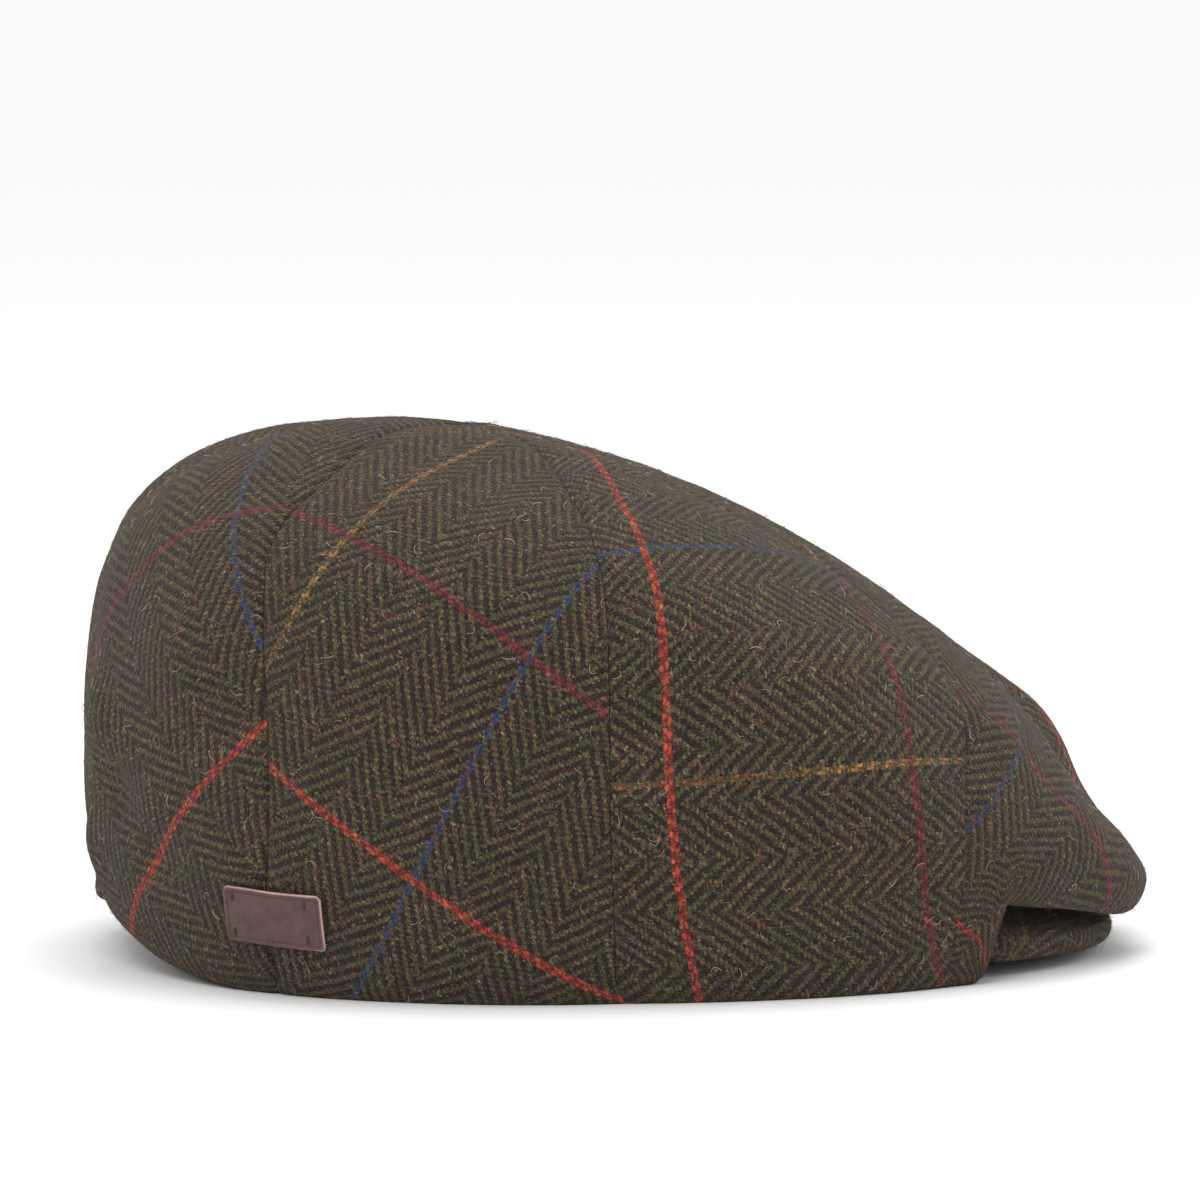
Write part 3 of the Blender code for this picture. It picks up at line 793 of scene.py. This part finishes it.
tab = {
    "width": 0.0265,
    "height": 0.0135,
    "corner": 0.0014,
    "thickness": 0.0015,
    "gap": 0.0003,
    "base": 0.0137,
    "angle": 132.7,
    "tilt": -2.6,              # degrees that it hangs lower towards the front
    "flare": 0.05,             # wider below than above
    "wave": 0.00028,
    "edgeRound": 0.00040,
    "border": 0.00125,         # from the edge in to the pressed line
    "borderWidth": 0.00018,
    "borderDepth": 0.00016,
    "step": 0.00024,
}
stitch = {
    "behind": 0.0026,          # from the tab's rear edge, and from its front edge
    "ahead": 0.0043,
    "rise": 0.0042,            # from its middle line to a stitch's middle
    "length": 0.0017,
    "radius": 0.00036,
    "arch": 0.00012,
    "sunk": 0.00035,
    "parts": 8,
}


def levelAtHeight(angle, height):
    low, high = np.full(angle.shape, 1.5), np.full(angle.shape, 5.0)
    for _ in range(30):
        middle = (low + high) / 2
        below = plainCrown(angle, middle)[..., 2] < height
        low, high = np.where(below, middle, low), np.where(below, high, middle)
    return (low + high) / 2


def onTab(across, up):
    # A point of the crown under the tab, and the direction out of it
    tilt = math.radians(tab["tilt"])
    wide = across * (1.0 - tab["flare"] * up / tab["height"])
    along = wide * math.cos(tilt) - up * math.sin(tilt)
    above = wide * math.sin(tilt) + up * math.cos(tilt)
    middle = np.array(math.radians(-tab["angle"]))
    level = levelAtHeight(middle, tab["base"] + tab["height"] / 2)
    step = plainCrown(middle + 1e-3, level) - plainCrown(middle, level)
    angle = middle + along * 1e-3 / np.linalg.norm(step)
    levels = levelAtHeight(angle, tab["base"] + tab["height"] / 2 + above)
    points, normal = plainCrown(angle, levels), outward(angle, levels)
    wave = tab["wave"] * np.sin(across / tab["width"] * 7.0 + 1.0) * (0.6 + up / tab["height"])
    return points + normal * (tab["wave"] + wave)[..., None], normal


def roundCorners(across, up):
    # Pulls the corners of a rectangle in to quarter circles, and gives the way in from its edge
    beyondX = np.maximum(np.abs(across) - (tab["width"] / 2 - tab["corner"]), 0.0)
    beyondY = np.maximum(np.abs(up) - (tab["height"] / 2 - tab["corner"]), 0.0)
    length = np.maximum(np.hypot(beyondX, beyondY), 1e-9)
    share = np.maximum(beyondX, beyondY) / length
    across = across - np.sign(across) * beyondX * (1.0 - share)
    up = up - np.sign(up) * beyondY * (1.0 - share)
    sideways = np.minimum(tab["width"] / 2 - np.abs(across), tab["height"] / 2 - np.abs(up))
    inCorner = (beyondX > 0) & (beyondY > 0)
    inside = np.where(inCorner, tab["corner"] - np.maximum(beyondX, beyondY), sideways)
    return across, up, inside


def buildTab(material):
    columns = round(tab["width"] / tab["step"])
    rows = round(tab["height"] / tab["step"])
    across = np.linspace(-0.5, 0.5, columns + 1)[None, :] * tab["width"] + np.zeros((rows + 1, 1))
    up = np.linspace(-0.5, 0.5, rows + 1)[:, None] * tab["height"] + np.zeros((1, columns + 1))
    across, up, inside = roundCorners(across, up)
    points, normal = onTab(across, up)
    press = tab["borderDepth"] * np.exp(-((inside - tab["border"]) / tab["borderWidth"]) ** 2)
    turn = np.clip(1.0 - inside / tab["edgeRound"], 0.0, 1.0)
    turnDown = tab["edgeRound"] * (1.0 - np.sqrt(1.0 - turn * turn))
    top = tab["gap"] + tab["thickness"] - press - turnDown
    plate = gridMesh("leather_tab_plate", points + normal * top[..., None], np.stack([across, up], -1))
    rim = plate.data.attributes.new("inset", "FLOAT", "POINT")
    rim.data.foreach_set("value", inside.astype(np.float32).ravel())
    plate.data.materials.append(material)
    addWall(plate, tab["thickness"] - tab["edgeRound"])
    plainMesh(plate)
    print("tab cut")
    return plate


def stitchTree():
    tree = bpy.data.node_groups.new("sewStitches", "GeometryNodeTree")
    tree.interface.new_socket(name="Geometry", in_out="INPUT", socket_type="NodeSocketGeometry")
    tree.interface.new_socket(name="Radius", in_out="INPUT", socket_type="NodeSocketFloat")
    tree.interface.new_socket(name="Material", in_out="INPUT", socket_type="NodeSocketMaterial")
    tree.interface.new_socket(name="Geometry", in_out="OUTPUT", socket_type="NodeSocketGeometry")
    make = Maker(tree)
    start = tree.nodes.new("NodeGroupInput")
    given = {socket.name: Socket(make, socket) for socket in start.outputs if socket.name}
    line = make.node("GeometryNodeMeshToCurve", None, {"Mesh": given["Geometry"]})
    ring = make.node("GeometryNodeCurvePrimitiveCircle", {"mode": "RADIUS"}, {"Resolution": 8, "Radius": given["Radius"]})
    thread = make.node("GeometryNodeCurveToMesh", None, {"Curve": line, "Profile Curve": ring, "Fill Caps": True})
    painted = make.node("GeometryNodeSetMaterial", None, {"Geometry": thread, "Material": given["Material"]})
    stop = tree.nodes.new("NodeGroupOutput")
    tree.links.new(painted.link, stop.inputs[0])
    return tree


def buildStitches(material):
    # Each stitch rises out of the leather, lies on it and goes back in
    share = np.linspace(-1.0, 1.0, stitch["parts"] + 1)
    points, edges = [], []
    for sideways in (-1, 1):
        for upward in (-1, 1):
            inset = stitch["ahead"] if sideways > 0 else stitch["behind"]
            across = sideways * (tab["width"] / 2 - inset) + 0.0 * share
            up = upward * stitch["rise"] + share * stitch["length"] / 2
            place, normal = onTab(across, up)
            lift = stitch["arch"] - (stitch["arch"] + stitch["sunk"]) * share ** 6
            first = len(points)
            points += (place + normal * (tab["gap"] + tab["thickness"] + lift)[:, None]).tolist()
            edges += [(first + k, first + k + 1) for k in range(stitch["parts"])]
    mesh = bpy.data.meshes.new("tab_stitches")
    mesh.from_pydata(points, edges, [])
    thread = bpy.data.objects.new("tab_stitches", mesh)
    bpy.context.scene.collection.objects.link(thread)
    return runTree(thread, stitchTree(), {"Radius": stitch["radius"], "Material": material})


def threadMaterial():
    material, make = newMaterial("tabThread", (0.02, 0.015, 0.015))
    place = make.node("ShaderNodeTexCoord", None, None, 3)
    x, _, z = make.parts(place, 3)
    twist = ((x + z) * 9000.0).sine() * 0.5 + 0.5
    color = make.mix(twist, (0.012, 0.008, 0.008), (0.045, 0.030, 0.028))
    closeMaterial(make, {"Base Color": color, "Roughness": 0.7}, twist, 0.00004)
    return material


def leatherMaterial():
    material, make = newMaterial("tabLeather", (0.12, 0.07, 0.07))
    inset = make.node("ShaderNodeAttribute", {"attribute_name": "inset"}, None, 2)
    place = make.node("ShaderNodeUVMap", {"uv_map": "weave"})
    pores = make.node("ShaderNodeTexVoronoi", {"feature": "DISTANCE_TO_EDGE"}, {"Vector": place, "Scale": 1900.0})
    cloud = make.mottle(place, 220.0, 4.0, 0.6)
    fine = make.mottle(place, 2600.0, 3.0, 0.6)
    color = make.mix(cloud.ease(0.3, 0.7), (0.058, 0.028, 0.026), (0.094, 0.048, 0.045))
    color = make.mix(fine.ease(0.35, 0.75) * 0.35, color, (0.145, 0.082, 0.074))
    line = 1.0 - ((inset - tab["border"]).abs() / (tab["borderWidth"] * 1.4)).within()
    color = make.mix(line * 0.60, color, (0.026, 0.012, 0.012))
    across, up = make.parts(place)
    paleAboveAhead = (across * 32.0 + up * 60.0 + 0.62).within()      # the cut edge is palest above and in front
    cut = (1.0 - inset.ease(tab["edgeRound"] * 0.3, tab["edgeRound"] * 1.4)) * (0.45 + cloud * 0.9) * paleAboveAhead
    color = make.mix(cut.within(), color, (0.52, 0.34, 0.29))
    closeMaterial(make, {
        "Base Color": color,
        "Roughness": 0.46 + fine * 0.25,
        "Specular IOR Level": 0.35,
    }, pores.ease(0.0, 0.25) * 0.6 + fine * 0.4, 0.00006)
    return material


# Loose fibres: pale curly kemp hairs and a short fuzz, scattered by geometry nodes

kemp = {
    "density": 8000.0,        # hairs for each square metre
    "radius": 0.000074,
    "small": 0.40,
    "large": 1.05,
    "parts": 5,
    "seed": 4,
}
fuzz = {
    "density": 150000.0,
    "radius": 0.000062,
    "small": 0.25,
    "large": 0.58,
    "parts": 3,
    "seed": 40,
}
fibreForms = (                # middle and end of each hair in metres, from its root on the cloth
    ((0.0016, 0.0005, 0.0006), (0.0034, -0.0003, 0.0003)),
    ((0.0012, 0.0016, 0.0007), (0.0030, 0.0004, 0.0008)),
    ((0.0020, -0.0016, 0.0007), (0.0008, -0.0032, 0.0004)),
    ((0.0028, 0.0020, 0.0009), (0.0004, 0.0026, 0.0003)),
)


def fibreMaterial(name, stops):
    material, make = newMaterial(name, stops[2][1])
    place = make.node("ShaderNodeTexCoord", None, None, 3)
    tone = make.mottle(place, 420.0, 1.0)
    closeMaterial(make, {"Base Color": make.node("ShaderNodeValToRGB", {"stops": stops}, {0: tone}), "Roughness": 0.8})
    return material


def fibreTree():
    tree = bpy.data.node_groups.new("scatterFibres", "GeometryNodeTree")
    tree.interface.new_socket(name="Geometry", in_out="INPUT", socket_type="NodeSocketGeometry")
    for name, kind in (("Density", "Float"), ("Radius", "Float"), ("Small", "Float"), ("Large", "Float"),
                       ("Parts", "Int"), ("Seed", "Int"), ("Material", "Material")):
        tree.interface.new_socket(name=name, in_out="INPUT", socket_type="NodeSocket" + kind)
    tree.interface.new_socket(name="Geometry", in_out="OUTPUT", socket_type="NodeSocketGeometry")
    make = Maker(tree)
    start = tree.nodes.new("NodeGroupInput")
    given = {socket.name: Socket(make, socket) for socket in start.outputs if socket.name}
    points = make.node("GeometryNodeDistributePointsOnFaces", {"distribute_method": "RANDOM"},
                       {"Mesh": given["Geometry"], "Density": given["Density"], "Seed": given["Seed"]})
    stand = Socket(make, points.link.node.outputs["Rotation"])
    ring = make.node("GeometryNodeCurvePrimitiveCircle", {"mode": "RADIUS"},
                     {"Resolution": 3, "Radius": given["Radius"]})
    hairs = []
    for middle, end in fibreForms:
        line = make.node("GeometryNodeCurveQuadraticBezier", None,
                         {"Resolution": given["Parts"], "Start": (0, 0, 0), "Middle": middle, "End": end})
        hairs.append(make.node("GeometryNodeCurveToMesh", None,
                               {"Curve": line, "Profile Curve": ring, "Fill Caps": True}))
    forms = make.node("GeometryNodeGeometryToInstance", None, {0: hairs})
    spin = make.node("FunctionNodeRandomValue", {"data_type": "FLOAT_VECTOR"},
                     {0: (-0.15, -0.15, 0.0), 1: (0.15, 0.15, 2.0 * math.pi), "Seed": given["Seed"]})
    turn = make.node("FunctionNodeRotateRotation", {"rotation_space": "LOCAL"}, {0: stand, 1: spin})
    size = make.node("FunctionNodeRandomValue", {"data_type": "FLOAT"},
                     {2: given["Small"], 3: given["Large"], "Seed": given["Seed"]}, 1)
    placed = make.node("GeometryNodeInstanceOnPoints", None, {
        "Points": points, "Instance": forms, "Pick Instance": True, "Rotation": turn, "Scale": size})
    real = make.node("GeometryNodeRealizeInstances", None, {0: placed})
    painted = make.node("GeometryNodeSetMaterial", None, {"Geometry": real, "Material": given["Material"]})
    stop = tree.nodes.new("NodeGroupOutput")
    tree.links.new(painted.link, stop.inputs[0])
    return tree


def growFibres(cloths, tree, kind, suffix, material):
    # One object of hairs for each piece of cloth; none reaches below the floor
    grown = []
    for number, (cloth, name) in enumerate(cloths):
        field = bpy.data.objects.new(name + suffix, cloth.data.copy())
        bpy.context.scene.collection.objects.link(field)
        runTree(field, tree, {
            "Density": kind["density"], "Radius": kind["radius"], "Small": kind["small"], "Large": kind["large"],
            "Parts": kind["parts"], "Seed": kind["seed"] + number, "Material": material,
        })
        places = np.empty(len(field.data.vertices) * 3, dtype=np.float32)
        field.data.vertices.foreach_get("co", places)
        places[2::3] = np.maximum(places[2::3], 0.0)
        field.data.vertices.foreach_set("co", places)
        field.data.update()
        grown.append(field)
    print("fibres grown:" + suffix)
    return grown


# Studio: camera at the picture's angle, pale floor, soft lights

studio = {
    "azimuth": -5.0,
    "elevation": 5.8,
    "distance": 1.8,
    "lens": 216.0,
    "look": (0.0, 0.0, 0.067),
    "left": 0.0040,           # from what the camera looks at to the middle of the picture
    "up": 0.02025,
    "floor": 60.0,
    "world": 1.02,
    "key": 11.6,
    "top": 13.0,
}


def aim(thing, place, target):
    back = (Vector(place) - Vector(target)).normalized()
    thing.rotation_mode = "QUATERNION"
    thing.location = place
    thing.rotation_quaternion = back.to_track_quat("Z", "Y")


def buildCamera():
    around, above = math.radians(studio["azimuth"]), math.radians(studio["elevation"])
    back = Vector((math.sin(around) * math.cos(above), -math.cos(around) * math.cos(above), math.sin(above)))
    right = Vector((math.cos(around), math.sin(around), 0.0))
    up = back.cross(right)
    target = Vector(studio["look"]) - right * studio["left"] + up * studio["up"]
    lens = bpy.data.cameras.new("camera")
    lens.lens = studio["lens"]
    lens.sensor_width = 36.0
    lens.clip_end = 2.0 * studio["floor"]
    camera = bpy.data.objects.new("camera", lens)
    bpy.context.scene.collection.objects.link(camera)
    aim(camera, target + back * studio["distance"], target)
    bpy.context.scene.camera = camera


def areaLight(name, place, target, size, power):
    light = bpy.data.lights.new(name, "AREA")
    light.shape = "DISK"
    light.size = size
    light.energy = power
    lamp = bpy.data.objects.new(name, light)
    bpy.context.scene.collection.objects.link(lamp)
    aim(lamp, place, target)


def buildStudio():
    far = studio["floor"]
    mesh = bpy.data.meshes.new("floor")
    mesh.from_pydata([(-far, -far, 0), (far, -far, 0), (far, far, 0), (-far, far, 0)], [], [(0, 1, 2, 3)])
    floor = bpy.data.objects.new("floor", mesh)
    bpy.context.scene.collection.objects.link(floor)
    material, make = newMaterial("paleFloor", (0.9, 0.9, 0.9))
    closeMaterial(make, {"Base Color": (0.92, 0.92, 0.92, 1.0), "Roughness": 0.95})
    mesh.materials.append(material)
    world = bpy.data.worlds.new("studio")
    world.use_nodes = True
    world.node_tree.nodes["Background"].inputs["Color"].default_value = (1.0, 1.0, 1.0, 1.0)
    world.node_tree.nodes["Background"].inputs["Strength"].default_value = studio["world"]
    bpy.context.scene.world = world
    bpy.context.scene.view_settings.view_transform = "Standard"
    heart = (0.0, 0.0, 0.05)
    areaLight("key", (-0.5, -1.5, 1.5), heart, 0.9, studio["key"])
    areaLight("top", (0.2, 0.1, 1.8), heart, 1.2, studio["top"])


def keep(piece, node=None):
    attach(piece, "root")
    if node:
        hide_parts(node)


tweedCloth = tweedMaterial("herringboneTweed")
# painted shade: a darkened copy of the tweed for the hollow under the roll
tweedPaintedShade = tweedMaterial("herringboneTweedPaintedShade", True)
gores = buildGores(tweedCloth)
cover = buildPeak(tweedCloth, tweedPaintedShade)
hairTree = fibreTree()
kempHair = fibreMaterial("kempHair", (
    (0.32, (0.20, 0.19, 0.15)), (0.44, (0.36, 0.31, 0.20)), (0.54, (0.46, 0.40, 0.31)), (0.66, (0.32, 0.21, 0.09)),
))
fuzzHair = fibreMaterial("woolFuzz", (
    (0.32, (0.030, 0.042, 0.042)), (0.42, (0.130, 0.108, 0.046)), (0.50, (0.030, 0.019, 0.018)),
    (0.58, (0.230, 0.185, 0.085)), (0.68, (0.100, 0.052, 0.034)),
))
cloths = [(gore, name) for gore, name, _, _ in gores] + [(cover, "peak")]
for hair in growFibres(cloths, hairTree, kemp, "_kemp", kempHair) + growFibres(cloths, hairTree, fuzz, "_fuzz", fuzzHair):
    keep(hair)
for gore, name, cut, area in gores:
    # painted shade: the inner faces take the darkened tweed
    gore.data.materials.append(tweedPaintedShade)
    addWall(gore, crown["cloth"], inner=1)
    plainMesh(gore)
    keep(gore, name)
    [gores[0][0]] if gore != gores[0][0] else [gores[1][0]]
keep(cover, "peak")
plate = buildTab(leatherMaterial())
keep(plate, "leather_tab")
keep(buildStitches(threadMaterial()))
buildCamera()
buildStudio()
print("studio set")
